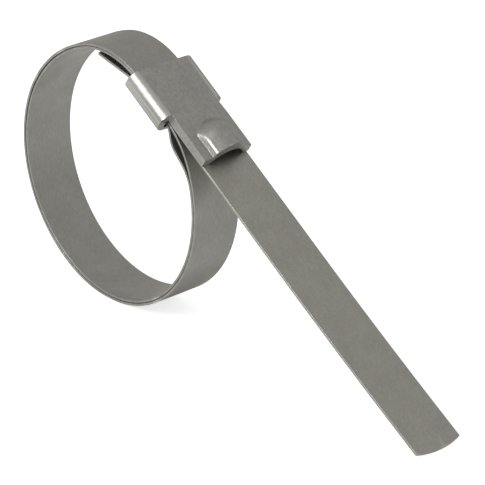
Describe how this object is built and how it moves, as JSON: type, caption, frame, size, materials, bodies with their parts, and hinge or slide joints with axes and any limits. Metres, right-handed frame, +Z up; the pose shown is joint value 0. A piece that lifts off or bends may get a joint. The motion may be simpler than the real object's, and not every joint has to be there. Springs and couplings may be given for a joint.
{
  "type": "hose clamp",
  "caption": "Preformed centre-punch hose clamp: a stainless strip looped round and through a stamped buckle with a punch hump, its long free tail pulled through to tighten.",
  "frame": {"origin": "centre of the hose bore, midway across the strip", "axes": "+Y along the bore, +X towards the tail, +Z up with the clamp standing on its loop and the tip of its tail"},
  "size_m": [0.164, 0.0228, 0.077],
  "materials": {
    "buckle_steel": "satin stamped stainless steel",
    "strip_steel": "satin rolled stainless steel strip"
  },
  "bodies": {
    "loop": {"buckle": "buckle_steel", "band_outer_turn": "strip_steel", "band_inner_turn": "strip_steel"},
    "tail": {"band_tail": "strip_steel"}
  },
  "joints": [
    {"name": "tail_pull", "type": "slide", "parent": "loop", "child": "tail", "axis": [0.8352, 0, -0.55], "range_m": [0, 0.02]}
  ]
}
